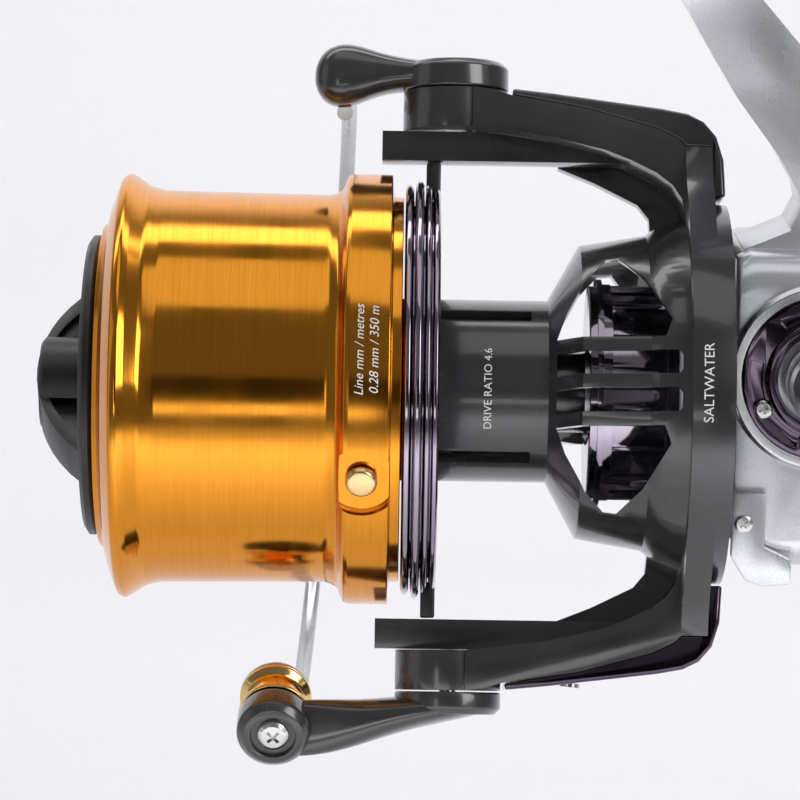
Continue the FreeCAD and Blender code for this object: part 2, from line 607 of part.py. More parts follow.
def case_outline(wall=0.0):
    """Side outline of the gear case, or of its hollow when a wall is given."""
    back, front = z.case_back - wall, z.case_front + wall
    low, high = -29.0 + wall, 29.8 - wall
    return [(front, -24.0), (z.case_front + 5.0, low), (64.0, low), (back - 8.5, -26.0 + wall),
            (back - 3.0, -19.0), (back - 0.5, -8.0), (back, 2.0), (back - 2.0, 12.0),
            (back - 7.5, 21.0), (back - 16.5, 27.5 - wall), (54.0, high), (z.case_front + 2.6, high),
            (front, 28.6 - wall)]


def make_case():
    shell = new_body("case_shell")
    pad(shell, [case_outline()], "XZ_Plane", z.seam_y, z.case_half)
    smooth(shell, 6.0, lambda e: abs(e.CenterOfMass.y - 22.0) < 0.01 and e.CenterOfMass.x > 15.5)
    w = z.case_wall
    pad(shell, [case_outline(w)], "XZ_Plane", z.seam_y - 1.0, z.case_half - w, cut=True)
    turn(shell, [[(5.0, z.bearing_r), (5.0, 16.8), (12.0, 18.5), (16.0, 18.5), (16.0, 8.0), (11.6, 8.0),
                  (11.6, z.bearing_r)]])
    turn(shell, [[(12.0, 0.0), (12.0, 8.0), (17.9, 8.0), (17.9, 0.0)]], cut=True)
    stem = new_body("stem_side")
    pad(stem, [[(3.5, 76.4), (9.2, 66.6), (15.2, 56.8), (22.6, 47.0), (26.6, 40.1), (27.2, 37.2),
                (25.3, 33.2), (20.4, 31.1), (16.5, 29.6), (17.0, 27.5), (56.0, 27.0), (60.0, 33.0),
                (46.0, 45.0), (28.1, 65.3), (18.2, 76.6), (14.0, 85.0), (-2.0, 85.0)]],
        "XZ_Plane", -20.0, 20.0)
    front = new_body("stem_front")
    pad(front, [[(-z.stem_root, 27.0), (z.stem_root, 27.0), (z.stem_root - 1.0, 45.0), (z.stem_half, 70.0),
                 (z.foot_wide, 85.0), (-z.foot_wide, 85.0), (-z.stem_half, 70.0),
                 (-z.stem_root + 1.0, 45.0)]], "YZ_Plane", -20.0, 80.0)
    stem_solid = fuse([stem, front], "Part::MultiCommon")
    side = new_body("foot_side")
    top = z.foot_height
    pad(side, [[(-z.foot_half, top), (-z.foot_half, top - 1.8), (-14.0, top - 5.2), (-3.0, top - 8.2),
                (16.0, top - 8.2), (24.0, top - 5.6), (z.foot_half, top - 1.8), (z.foot_half, top)]],
        "XZ_Plane", -20.0, 20.0)
    plan = new_body("foot_plan")
    pad(plan, [[(-z.foot_half, -5.0), (-30.0, -7.4), (0.0, -z.foot_wide), (16.0, -z.foot_wide),
                (30.0, -7.4), (z.foot_half, -5.0), (z.foot_half, 5.0), (30.0, 7.4),
                (16.0, z.foot_wide), (0.0, z.foot_wide), (-30.0, 7.4), (-z.foot_half, 5.0)]],
        "XY_Plane", 80.0, top)
    foot = fuse([side, plan], "Part::MultiCommon")
    seats = [cylinder(8.0, 5.0, (z.drive_x, 16.0, z.drive_z), (0, 1, 0)),
             cylinder(3.0, 15.4, (z.swing_x, 5.2, -6.0), (0, 1, 0))]
    joined = fuse([shell, stem_solid, foot] + seats)
    seam = new_body("stem_clear")
    pad(seam, [case_outline()], "XZ_Plane", -40.0, z.seam_y)
    holes = [seam, cylinder(z.axle_r + 2.5, 3.2, (z.drive_x, 15.9, z.drive_z), (0, 1, 0)),
             cylinder(z.pinion_r + 2.0, 8.0, (11.0, 0.0, 0.0), (1, 0, 0)),
             box_at(6.0, 6.4, 6.0, (38.0, -3.2, -31.0))]
    finish(cut(joined, holes), "body_housing")


def box_at(long, wide, high, at):
    obj = doc.addObject("Part::Box", "block")
    obj.Length = long
    obj.Width = wide
    obj.Height = high
    obj.Placement = Placement(Vector(*at), Rotation())
    return obj


def make_side_cover():
    body = new_body("cover_blank")
    pad(body, [case_outline()], "XZ_Plane", -z.case_half, z.seam_y)
    smooth(body, 6.0, lambda e: abs(e.CenterOfMass.y + 22.0) < 0.01 and e.CenterOfMass.x > 15.5)
    w = z.case_wall
    pad(body, [case_outline(w)], "XZ_Plane", -z.case_half + w, z.seam_y + 1.0, cut=True)
    seat = cylinder(8.0, 4.0, (z.drive_x, -z.case_half + 0.5, z.drive_z), (0, 1, 0))
    holes = [cylinder(z.axle_r + 2.5, 12.0, (z.drive_x, -z.case_half - 1.0, z.drive_z), (0, 1, 0))]
    joined = fuse([body, seat])
    finish(cut(joined, holes), "side_cover")


def along_y(label, rings, at, spins_with=None, sides=None):
    """Piece turned about a Y axis from (radius, y) points."""
    body = new_body(label)
    turn(body, [rings], about="V_Axis")
    finish(body, label, at=at)
    return body


def make_drive():
    at = (z.drive_x, 0.0, z.drive_z)
    bore_y = -z.case_half
    gear = new_body("drive_gear")
    face = -z.pinion_r - 0.9 - z.gap
    turn(gear, [[(0.0, 19.0), (z.axle_far_r, 19.0), (z.axle_far_r, -1.0), (4.9, -1.0), (4.9, face - 0.6),
                 (z.gear_r - 3.6, face - 0.6), (z.gear_r - 3.4, face), (z.gear_r, face), (z.gear_r, face - 2.6),
                 (z.axle_r + 2.0, face - 2.6), (z.axle_r + 2.0, -12.5), (z.axle_r, -12.5),
                 (z.axle_r, bore_y - 3.0), (0.0, bore_y - 3.0)]], about="V_Axis")
    notch = pad(gear, [[(9.2, -0.3), (13.6, -0.42), (13.6, 0.42), (9.2, 0.3)]], "XZ_Plane",
                face - 0.9, face + 0.5, cut=True)
    ring_of(gear, notch, 46, "Y_Axis")
    finish(gear, "drive_gear", at=at)
    spur = new_body("drive_spur")
    spur_teeth(spur, 11, 5.5, 0.0, z.axle_far_r, 5.2, 9.6)
    finish(spur, "drive_spur", at=at)
    for label, r, low, high in (("drive_bearing_near", z.axle_r, bore_y + 0.6, bore_y + 4.4),
                                ("drive_bearing_far", z.axle_far_r, 15.9, 19.1)):
        rim = z.axle_r + 2.5
        along_y(label, [(r + z.fit, low), (rim, low), (rim, high), (r + z.fit, high)], at)


def spur_teeth(body, count, pitch_r, phase, bore, low, high):
    """Spur gear with straight-sided teeth and generous backlash, first tooth at phase."""
    pad(body, [(0.0, 0.0, pitch_r + 0.6), (0.0, 0.0, bore)], "XZ_Plane", low, high)
    step = 2 * math.pi / count
    mid = phase + step / 2
    corners = []
    for r, half, sign in ((pitch_r - 1.0, 0.80, -1), (pitch_r + 0.9, 0.11, -1),
                          (pitch_r + 0.9, 0.11, 1), (pitch_r - 1.0, 0.80, 1)):
        across = sign * (step * r / 2 - half)
        corners.append((r * math.cos(mid) - across * math.sin(mid), r * math.sin(mid) + across * math.cos(mid)))
    gap = pad(body, [corners], "XZ_Plane", low - 0.5, high + 0.5, cut=True)
    ring_of(body, gap, count, "Y_Axis")


def make_swing():
    """Oscillation gear, slider and guide."""
    dx = z.swing_x.value - z.drive_x.value
    dz = -6.0 - z.drive_z.value
    way = math.atan2(dz, dx)
    gear = new_body("oscillation_gear")
    nearest = math.pi / 36 + (math.pi + way)
    offset = round(way / (2 * math.pi / 11)) * (2 * math.pi / 11) - way
    phase = nearest - offset * 11.0 / 36.0
    spur_teeth(gear, 36, 18.0, phase, 3.0 + z.fit, 5.4, 9.4)
    pin_x, pin_z = -6.0, 12.65
    pad(gear, [(pin_x, pin_z, 2.0)], "XZ_Plane", 4.3, 5.6)
    finish(gear, "oscillation_gear", at=(z.swing_x, 0.0, -6.0))
    slider = new_body("slider_blank")
    x = z.swing_x - 6.0
    pad(slider, [[(x - 5.0, -24.0), (x + 5.0, -24.0), (x + 5.0, 13.2), (x + 3.0, 13.2), (x + 3.0, 18.2),
                  (x - 3.0, 18.2), (x - 3.0, 13.2), (x + 0.4, 13.2), (x + 0.4, -3.6), (x - 5.0, -3.6)],
                 [(x - 2.4, -22.5), (x + 2.4, -22.5), (x + 2.4, -5.0), (x - 2.4, -5.0)],
                 ], "XZ_Plane", -3.6, 4.0)
    pad(slider, [[(x + 0.4, -4.5), (x + 6.0, -4.5), (x + 6.0, 4.5), (x + 0.4, 4.5)]], "XZ_Plane", -5.0, 4.0)
    bore = cylinder(z.shaft_r, 20.0, (x - 10.0, 0.0, 0.0), (1, 0, 0))
    guide = cylinder(1.5 + z.fit, 20.0, (x - 10.0, -0.6, 15.6), (1, 0, 0))
    finish(cut(slider, [bore, guide]), "oscillation_slider")
    rod = cylinder(1.5, 53.0, (17.4, -0.6, 15.6), (1, 0, 0))
    head = cylinder(2.4, 1.2, (17.4, -0.6, 15.6), (1, 0, 0))
    finish(fuse([rod, head]), "slider_guide")


def make_collar():
    at = (z.drive_x, 0.0, z.drive_z)
    y = -z.case_half
    along_y("collar_bezel", [(7.0, y), (z.collar_r, y), (z.collar_r, y - 1.8), (z.collar_r - 0.8, y - 2.6),
                             (15.3, y - 2.6), (15.3, y - 1.2), (7.0, y - 1.2)], at)
    ring = new_body("collar_ring")
    turn(ring, [[(8.7, y - 1.2), (15.2, y - 1.2), (15.2, y - 2.4), (10.9, y - 2.4), (10.9, y - 3.4),
                 (10.1, y - 3.9), (8.7, y - 3.9)]], about="V_Axis")
    for i in range(3):
        mid = math.radians(27.9 + 60.0 + 120.0 * i)
        arc = []
        for k in range(9):
            a = mid - 0.72 + 0.18 * k
            arc.append((13.9 * math.cos(a), 13.9 * math.sin(a)))
        for k in range(9):
            a = mid + 0.72 - 0.18 * k
            arc.append((11.6 * math.cos(a), 11.6 * math.sin(a)))
        pad(ring, [arc], "XZ_Plane", y - 2.5, y - 1.9, cut=True)
    finish(ring, "collar_ring", at=at)
    for i in range(3):
        a = math.radians(207.9 + 120.0 * i)
        spot = (z.drive_x.value + 12.6 * math.cos(a), number(y) - 2.4, z.drive_z.value + 12.6 * math.sin(a))
        screw("collar_screw_%d" % (i + 1), 1.7, 0.1, 0.7, spot, (0, -1, 0))


def make_crank():
    at = (z.drive_x, 0.0, z.drive_z)
    y = -z.case_half - 3.0
    end = z.hub_end
    along_y("handle_hub", [(0.0, y), (z.axle_r + 1.2, y), (z.axle_r + 1.2, y - 2.0), (z.hub_r, y - 2.6),
                           (z.hub_r, y - 9.0), (z.hub_r - 0.8, y - 9.8), (z.hub_r - 0.8, end + 9.0),
                           (z.hub_r, end + 8.0), (z.hub_r, end), (0.0, end)], at)
    arm = new_body("arm_blank")
    wide = z.crank_wide
    length = z.crank_length
    pad(arm, [[(z.hub_r - 1.5, -wide), (length * 0.5, -wide + 1.0), (length, -wide + 0.6),
               (length + 4.8, -wide + 3.0), (length + 6.2, 0.0), (length + 4.8, wide - 3.0),
               (length, wide - 0.6), (length * 0.5, wide - 1.0), (z.hub_r - 1.5, wide)],
              (length, 0.0, 2.2)], "XZ_Plane", end + 1.2, end + 6.2)
    hub_room = cylinder(z.hub_r, 30.0, (0.0, end - 10.0, 0.0), (0, 1, 0))
    finish(cut(arm, [hub_room]), "handle_arm", at=at)
    along_y("handle_cap", [(0.0, end), (6.2, end), (6.2, end - 1.0), (4.0, end - 2.2), (0.0, end - 2.2)], at)
    tip = (z.drive_x + z.crank_length, 0.0, z.drive_z)
    outer = end - 36.0
    along_y("knob_axle", [(0.0, end + 6.2), (2.2, end + 6.2), (2.2, end + 1.2), (5.0, end + 1.2), (5.0, end - 0.4),
                          (z.knob_axle_r, end - 0.4), (z.knob_axle_r, outer + 1.2), (4.4, outer + 1.2),
                          (4.4, outer - 0.2), (0.0, outer - 0.2)], tip)
    bore = z.knob_axle_r + 1.2
    along_y("handle_grip", [(bore, end - 1.0), (7.5, end - 1.0), (8.4, end - 4.0), (8.0, end - 9.0),
                            (z.grip_r - 3.0, end - 16.0), (z.grip_r, end - 23.0), (z.grip_r - 0.4, end - 29.0),
                            (z.grip_r - 4.0, end - 34.5), (9.0, end - 36.5), (7.4, end - 36.5),
                            (7.4, outer + 1.5), (bore, outer + 1.5)], tip)
    for label, low, high in (("knob_bush_near", end - 7.0, end - 1.2), ("knob_bush_far", outer + 1.8, outer + 7.0)):
        along_y(label, [(z.knob_axle_r + z.fit, low), (bore, low), (bore, high), (z.knob_axle_r + z.fit, high)],
                tip)
    along_y("grip_cap", [(0.0, end - 38.2), (5.0, end - 38.2), (7.4, end - 37.2), (7.4, end - 36.5), (0.0, end - 36.5)],
            tip)


def make_front_block():
    body = new_body("front_block")
    pad(body, [[(z.case_front - 0.2, -13.9), (21.0, -13.9), (21.0, -24.0), (26.0, -26.2), (26.0, -31.0),
                (21.0, -31.6), (17.6, -30.4), (z.case_front - 0.2, -26.0)]], "XZ_Plane",
        -z.case_half - 2.2, -z.case_half)
    finish(body, "front_block")
    screw("front_screw", 1.75, 1.0, 0.5, (16.95, number(-z.case_half) - 2.2, -19.6), (0, -1, 0))
    guard = new_body("rear_guard")
    inner = case_outline()[3:10]
    grown = case_outline(-2.4)[3:10]
    pad(guard, [inner + grown[::-1]], "XZ_Plane", -14.0, 14.0)
    finish(guard, "rear_guard")
    lever = new_body("reverse_lever")
    pad(lever, [[(36.0, -31.8), (46.0, -31.8), (46.0, -33.8), (41.0, -37.6), (37.0, -37.6)]], "XZ_Plane", -3.0, 3.0)
    pad(lever, [(0.0, -28.0, 1.3)], "YZ_Plane", 38.3, 43.7)
    pad(lever, [[(39.0, -32.0), (43.0, -32.0), (43.0, -26.9), (39.0, -26.9)]], "XZ_Plane", -1.3, 1.3)
    finish(lever, "reverse_lever")


for make in (make_spool, make_line_clip, make_drag, make_drag_knob, make_shaft, make_guard, make_rotor,
             make_arm_covers, make_rotor_core, make_bail, make_roller, make_clutch, make_case, make_side_cover,
             make_drive, make_swing, make_collar, make_crank, make_front_block):
    make()

doc.recompute()
for obj in doc.Objects:
    if "Invalid" in obj.State or "Error" in obj.State:
        raise RuntimeError("%s failed" % obj.Label)
os.makedirs("parts", exist_ok=True)
for obj in pieces:
    if obj.Shape.isNull() or not obj.Shape.isValid():
        raise RuntimeError("%s has no valid shape" % obj.Label)
    obj.Shape.exportStep("parts/%s.step" % obj.Label)
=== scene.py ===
import json
import math
import bmesh
import bpy
from mathutils import Matrix, Vector


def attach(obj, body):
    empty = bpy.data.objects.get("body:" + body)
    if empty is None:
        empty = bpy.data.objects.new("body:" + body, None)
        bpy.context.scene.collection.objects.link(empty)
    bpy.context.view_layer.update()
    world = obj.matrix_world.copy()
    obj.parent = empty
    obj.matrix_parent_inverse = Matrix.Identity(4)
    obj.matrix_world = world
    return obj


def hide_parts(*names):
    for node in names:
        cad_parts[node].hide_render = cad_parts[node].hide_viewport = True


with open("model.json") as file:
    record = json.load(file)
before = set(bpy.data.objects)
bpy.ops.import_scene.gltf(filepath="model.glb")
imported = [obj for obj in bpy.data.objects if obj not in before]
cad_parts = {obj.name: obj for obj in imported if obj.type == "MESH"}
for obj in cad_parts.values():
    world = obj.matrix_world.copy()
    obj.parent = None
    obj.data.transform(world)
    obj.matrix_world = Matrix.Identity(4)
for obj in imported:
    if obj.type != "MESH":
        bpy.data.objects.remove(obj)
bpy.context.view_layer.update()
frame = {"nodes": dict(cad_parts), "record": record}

# Studio: a pale sweep under and behind the reel, soft boxes above and beside it, and two
# dark flags so that polished metal has something to reflect. Lengths in metres.
AXIS_Z = -0.092
REST_TURN = math.radians(-15.5)
DRIVE_X = 0.031
DRIVE_Z = AXIS_Z + 0.008
GRIP_X = 0.101
camera = bpy.data.objects.new("camera", bpy.data.cameras.new("camera"))
bpy.context.collection.objects.link(camera)
bpy.context.scene.camera = camera
camera.data.sensor_width = 36.0
camera.data.lens = 177.6
camera.data.clip_start = 0.05
look_at = Vector((-0.0469, 0.0, -0.0940))
rise = math.radians(11.0)
camera.location = look_at + 0.75 * Vector((0.0, -math.cos(rise), math.sin(rise)))
square = (look_at - camera.location).to_track_quat("-Z", "Y").to_matrix().to_4x4()
camera.matrix_world = (Matrix.Translation(camera.location) @ square
                       @ Matrix.Rotation(math.radians(0.9), 4, "Z"))

sweep = bpy.data.meshes.new("sweep")
rows = [(-1.6, -0.30), (0.45, -0.30), (0.60, -0.27), (0.70, -0.18), (0.75, -0.05), (0.77, 1.5)]
sweep.from_pydata([(x, y, z) for y, z in rows for x in (-1.8, 1.8)], [],
                  [(2 * i, 2 * i + 1, 2 * i + 3, 2 * i + 2) for i in range(len(rows) - 1)])
sweep.polygons.foreach_set("use_smooth", [True] * len(sweep.polygons))
backdrop = bpy.data.objects.new("sweep", sweep)
bpy.context.collection.objects.link(backdrop)
paper = bpy.data.materials.new("studio_paper")
paper.use_nodes = True
paper.node_tree.nodes["Principled BSDF"].inputs["Base Color"].default_value = (0.86, 0.855, 0.88, 1)
paper.node_tree.nodes["Principled BSDF"].inputs["Roughness"].default_value = 0.9
sweep.materials.append(paper)


def soft_box(name, place, wide, high, power, colour=(1, 1, 1), aim=(-0.03, 0.0, -0.09)):
    light = bpy.data.lights.new(name, "AREA")
    light.shape = "RECTANGLE"
    light.size, light.size_y, light.energy, light.color = wide, high, power, colour
    obj = bpy.data.objects.new(name, light)
    obj.location = place
    obj.rotation_euler = (Vector(aim) - Vector(place)).to_track_quat("-Z", "Y").to_euler()
    bpy.context.collection.objects.link(obj)


soft_box("top_box", (-0.10, -0.25, 0.75), 0.9, 0.5, 1.1)
soft_box("front_box", (-0.25, -0.95, -0.02), 0.55, 0.30, 0.9)
soft_box("side_box", (-0.95, -0.15, 0.05), 0.5, 0.7, 0.4)
soft_box("rear_box", (0.55, -0.55, 0.25), 0.4, 0.5, 3.0)
soft_box("sweep_wash", (0.0, 0.25, 0.55), 1.6, 0.4, 6.1, aim=(0.0, 0.75, 0.0))
soft_box("floor_wash", (-0.05, -0.42, -0.17), 1.2, 0.35, 2.4, aim=(-0.05, -0.40, -0.30))
matt = bpy.data.materials.new("matt_flag")
matt.use_nodes = True
matt.node_tree.nodes["Principled BSDF"].inputs["Base Color"].default_value = (0.02, 0.018, 0.018, 1)
matt.node_tree.nodes["Principled BSDF"].inputs["Roughness"].default_value = 1.0
for name, back, rise_by, wide, high in (("lens_flag", 0.82, -0.03, 0.6, 0.22), ("low_flag", 0.70, -0.42,
    1.5, 0.16)):
    card = bpy.data.meshes.new(name)
    card.from_pydata([(x * wide / 2, y * high / 2, 0) for x, y in ((-1, -1), (1, -1), (1, 1), (-1, 1))],
                     [], [(0, 1, 2, 3)])
    card.materials.append(matt)
    card.transform(square)
    flag = bpy.data.objects.new(name, card)
    flag.location = look_at + back * Vector((0.0, -math.cos(rise), math.sin(rise))) + Vector((0, 0, rise_by))
    bpy.context.collection.objects.link(flag)
world = bpy.data.worlds.new("studio")
bpy.context.scene.world = world
world.use_nodes = True
world.node_tree.nodes["Background"].inputs["Color"].default_value = (0.93, 0.95, 1.0, 1)
world.node_tree.nodes["Background"].inputs["Strength"].default_value = 0.17
bpy.context.scene.view_settings.view_transform = "Standard"

# Body housing: one alloy casting of gear case, stem and foot, in pearl silver paint with
# fine metal flake under a clear coat. The side cover and front block carry the same paint.
MM = 0.001
bodies_of = {node: body for body, nodes in frame["record"]["behaviour"]["bodies"].items() for node in nodes}


def group_of(name, inputs, outputs):
    """New shader node group with float inputs and outputs."""
    tree = bpy.data.node_groups.new(name, "ShaderNodeTree")
    for label, value in inputs:
        tree.interface.new_socket(label, in_out="INPUT", socket_type="NodeSocketFloat").default_value = value
    for label in outputs:
        tree.interface.new_socket(label, in_out="OUTPUT", socket_type="NodeSocketFloat")
    enter = tree.nodes.new("NodeGroupInput")
    leave = tree.nodes.new("NodeGroupOutput")
    return tree, enter, leave


def noise_in(tree, scale, detail, stretch=(1, 1, 1)):
    place = tree.nodes.new("ShaderNodeTexCoord")
    turn = tree.nodes.new("ShaderNodeMapping")
    turn.inputs["Scale"].default_value = stretch
    noise = tree.nodes.new("ShaderNodeTexNoise")
    noise.inputs["Scale"].default_value = scale
    noise.inputs["Detail"].default_value = detail
    tree.links.new(place.outputs["Object"], turn.inputs["Vector"])
    tree.links.new(turn.outputs["Vector"], noise.inputs["Vector"])
    return noise


def level(tree, source, low, high, start=0.3, end=0.7):
    """Map a mask from start..end to low..high."""
    node = tree.nodes.new("ShaderNodeMapRange")
    for label, value in (("From Min", start), ("From Max", end), ("To Min", low), ("To Max", high)):
        node.inputs[label].default_value = value
    tree.links.new(source, node.inputs["Value"])
    return node.outputs["Result"]


# Handling marks: soft smears in the gloss, with scattered fine specks of dust.
handled, handled_in, handled_out = group_of(
    "handled_surface", [("Low gloss", 0.2), ("High gloss", 0.3)], ["Roughness", "Height", "Mask"])
smear = noise_in(handled, 90.0, 5.0, (1.0, 1.0, 0.6))
grain = noise_in(handled, 2600.0, 2.0)
spread = handled.nodes.new("ShaderNodeMapRange")
spread.inputs["From Min"].default_value = 0.32
spread.inputs["From Max"].default_value = 0.70
handled.links.new(smear.outputs["Fac"], spread.inputs["Value"])
handled.links.new(handled_in.outputs["Low gloss"], spread.inputs["To Min"])
handled.links.new(handled_in.outputs["High gloss"], spread.inputs["To Max"])
handled.links.new(spread.outputs["Result"], handled_out.inputs["Roughness"])
handled.links.new(grain.outputs["Fac"], handled_out.inputs["Height"])
handled.links.new(level(handled, smear.outputs["Fac"], 0.0, 1.0), handled_out.inputs["Mask"])


def finish_of(name, colours, gloss, metallic=0.0, coat=0.0, bump=0.02, ior=1.5, fine=None, coat_rough=0.08):
    """A finish with two blended colours, handled gloss and a fine grain in its normal."""
    material = bpy.data.materials.new(name)
    material.use_nodes = True
    tree = material.node_tree
    skin = tree.nodes["Principled BSDF"]
    skin.inputs["Metallic"].default_value = metallic
    skin.inputs["IOR"].default_value = ior
    skin.inputs["Coat Weight"].default_value = coat
    skin.inputs["Coat Roughness"].default_value = coat_rough
    used = tree.nodes.new("ShaderNodeGroup")
    used.node_tree = handled
    used.inputs["Low gloss"].default_value, used.inputs["High gloss"].default_value = gloss
    mix = tree.nodes.new("ShaderNodeMix")
    mix.data_type = "RGBA"
    mix.inputs["A"].default_value = (*colours[0], 1)
    mix.inputs["B"].default_value = (*colours[1], 1)
    mask = used.outputs["Mask"]
    height = used.outputs["Height"]
    if fine:
        spot = noise_in(tree, fine[0], 3.0, fine[1])
        mask = level(tree, spot.outputs["Fac"], 0.0, 1.0, 0.25, 0.75)
        height = spot.outputs["Fac"]
    tree.links.new(mask, mix.inputs["Factor"])
    tree.links.new(mix.outputs["Result"], skin.inputs["Base Color"])
    tree.links.new(used.outputs["Roughness"], skin.inputs["Roughness"])
    lift = tree.nodes.new("ShaderNodeBump")
    lift.inputs["Strength"].default_value = bump
    lift.inputs["Distance"].default_value = 0.0003
    tree.links.new(height, lift.inputs["Height"])
    tree.links.new(lift.outputs["Normal"], skin.inputs["Normal"])
    return material


pearl = finish_of("pearl_silver_paint", ((0.60, 0.62, 0.66), (0.78, 0.79, 0.82)), (0.26, 0.36),
                  metallic=0.75, coat=0.5, bump=0.05, fine=(4200.0, (1, 1, 1)))


def shade(mesh, angle=32.0):
    """Smooth shading, broken at edges sharper than the angle."""
    work = bmesh.new()
    work.from_mesh(mesh)
    for face in work.faces:
        face.smooth = True
    for edge in work.edges:
        edge.smooth = len(edge.link_faces) == 2 and edge.calc_face_angle(0.0) < math.radians(angle)
    work.to_mesh(mesh)
    work.free()


def refined(node, material, width=0.25, sharp=28.0, steps=2):
    """A copy of a node with its edges softened by a small radius, as castings and mouldings have."""
    source = frame["nodes"][node]
    mesh = source.data.copy()
    mesh.transform(source.matrix_world)
    work = bmesh.new()
    work.from_mesh(mesh)
    bmesh.ops.remove_doubles(work, verts=work.verts, dist=2e-6)
    bmesh.ops.dissolve_degenerate(work, edges=work.edges, dist=1e-6)
    bmesh.ops.dissolve_limit(work, angle_limit=math.radians(1.0), verts=work.verts, edges=work.edges)
    work.to_mesh(mesh)
    work.free()
    obj = bpy.data.objects.new(node + "_finish", mesh)
    bpy.context.collection.objects.link(obj)
    if width:
        edge = obj.modifiers.new("radius", "BEVEL")
        edge.width = width * MM
        edge.segments = steps
        edge.limit_method = "ANGLE"
        edge.angle_limit = math.radians(sharp)
        edge.use_clamp_overlap = True
        edge.harden_normals = False
        bpy.context.view_layer.update()
        done = bpy.data.meshes.new_from_object(obj.evaluated_get(bpy.context.evaluated_depsgraph_get()))
        obj.modifiers.clear()
        obj.data = done
    return settle(obj, material, node)


def settle(obj, material, *nodes, body=None, smooth=32.0):
    """Shade a piece, give it its one finish, and seat it in place of the nodes it shows."""
    shade(obj.data, smooth)
    obj.data.materials.clear()
    obj.data.materials.append(material)
    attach(obj, body or bodies_of[nodes[0]])
    if nodes:
        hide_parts(*nodes)
    return obj


refined("body_housing", pearl, 0.7, 24.0, 3)
refined("side_cover", pearl, 0.5, 24.0, 3)
refined("front_block", pearl, 0.35)

# Hard black and satin finishes used by the rotor, arms and knob.
black_paint = finish_of("gloss_black_paint", ((0.026, 0.026, 0.027), (0.036, 0.036, 0.037)), (0.18, 0.28),
                        coat=0.6, bump=0.03, ior=1.6)
satin_black = finish_of("satin_black_moulding", ((0.012, 0.012, 0.013), (0.020, 0.020, 0.021)), (0.30, 0.42),
                        bump=0.22, ior=1.5)
lilac_chrome = finish_of("lilac_chrome_plate", ((0.33, 0.29, 0.35), (0.42, 0.37, 0.44)), (0.05, 0.12),
                         metallic=1.0, bump=0.01)
plum_plate = finish_of("dark_plum_plate", ((0.085, 0.065, 0.09), (0.14, 0.105, 0.145)), (0.06, 0.14),
                       metallic=1.0,
                       bump=0.015)
refined("rear_guard", black_paint, 0.5)
refined("reverse_lever", satin_black, 0.4)

# Rotor: die-cast in one with its neck, windowed head, rim, two arms and rails, then painted
# gloss black. Covers close the outside of both arms, the lower one plated.
refined("rotor", black_paint, 0.5, 26.0, 3)
refined("arm_cover_upper", black_paint, 0.9, 30.0, 4)
refined("arm_cover_lower", plum_plate, 0.9, 30.0, 4)


# Spool: turned from bar, polished, and anodised orange-gold. The lip is rounded, the arbor
# runs to a concave fillet at the skirt, and a small flat seats the line clip.
def rounded_outline(points, steps=5):
    """Replace each (x, r, radius) corner of a closed outline with an arc."""
    out = []
    count = len(points)
    for i, point in enumerate(points):
        here = Vector(point[:2])
        radius = point[2] if len(point) > 2 else 0.15
        before = (Vector(points[i - 1][:2]) - here)
        after = (Vector(points[(i + 1) % count][:2]) - here)
        open_angle = before.angle(after, 0.0)
        if radius <= 0.0 or open_angle > math.radians(178.0) or open_angle < 1e-3:
            out.append(here)
            continue
        back = min(radius / math.tan(open_angle / 2), before.length * 0.45, after.length * 0.45)
        start = here + before.normalized() * back
        end = here + after.normalized() * back
        for k in range(steps + 1):
            f = k / steps
            out.append(start * (1 - f) ** 2 + here * 2 * f * (1 - f) + end * f ** 2)
    return out


def lathe(name, points, place=None, segments=180, steps=5):
    """Spin a closed (along, radius) outline in mm about +X and put it in place."""
    outline = rounded_outline(points, steps)
    work = bmesh.new()
    rings = []
    for i in range(segments):
        angle = 2 * math.pi * i / segments
        rings.append([work.verts.new((p[0] * MM, -p[1] * MM * math.cos(angle), p[1] * MM * math.sin(angle)))
                      for p in outline])
    count = len(outline)
    for i in range(segments):
        a, b = rings[i], rings[(i + 1) % segments]
        for j in range(count):
            k = (j + 1) % count
            if outline[j][1] < 1e-6 and outline[k][1] < 1e-6:
                continue
            work.faces.new((a[j], a[k], b[k], b[j]))
    bmesh.ops.remove_doubles(work, verts=work.verts, dist=1e-7)
    bmesh.ops.recalc_face_normals(work, faces=work.faces)
    mesh = bpy.data.meshes.new(name)
    work.to_mesh(mesh)
    work.free()
    mesh.transform(place or Matrix.Translation((0, 0, AXIS_Z)))
    obj = bpy.data.objects.new(name, mesh)
    bpy.context.collection.objects.link(obj)
    return obj


gold = finish_of("orange_gold_anodise", ((0.74, 0.27, 0.022), (0.82, 0.33, 0.034)), (0.10, 0.19),
                 metallic=1.0,
                 bump=0.012, fine=(60.0, (45, 1, 1)))
spool = lathe("spool_turned", [
    (-103.2, 22.5), (-103.2, 30.3, 0.3), (-102.3, 30.9, 0.3), (-101.4, 34.6, 3.0), (-99.6, 39.6, 1.2),
    (-98.3, 40.3, 0.8), (-96.9, 39.5, 1.0), (-94.4, 37.8, 3.0), (-91.6, 37.1, 2.0), (-60.4, 36.7, 3.0),
    (-58.3, 37.6, 1.5), (-57.1, 40.5, 0.6), (-56.2, 40.75, 0.3), (-48.75, 40.75, 0.35), (-48.6, 36.5, 0.2),
    (-46.7, 36.4, 0.2), (-46.7, 34.6, 0.2), (-90.0, 34.6, 1.0), (-91.5, 33.1, 0.5), (-91.5, 11.0, 0.5),
    (-62.0, 11.0, 0.4), (-62.0, 4.6, 0.2), (-96.0, 4.6, 0.2), (-96.0, 22.5, 0.3)], segments=256)
clip_way = Vector((0.0, -math.cos(math.radians(-14.0)), math.sin(math.radians(-14.0))))
clip_spot = Vector((-0.0537, 0, AXIS_Z))
clip_turn = clip_way.to_track_quat("X", "Z").to_matrix().to_4x4()
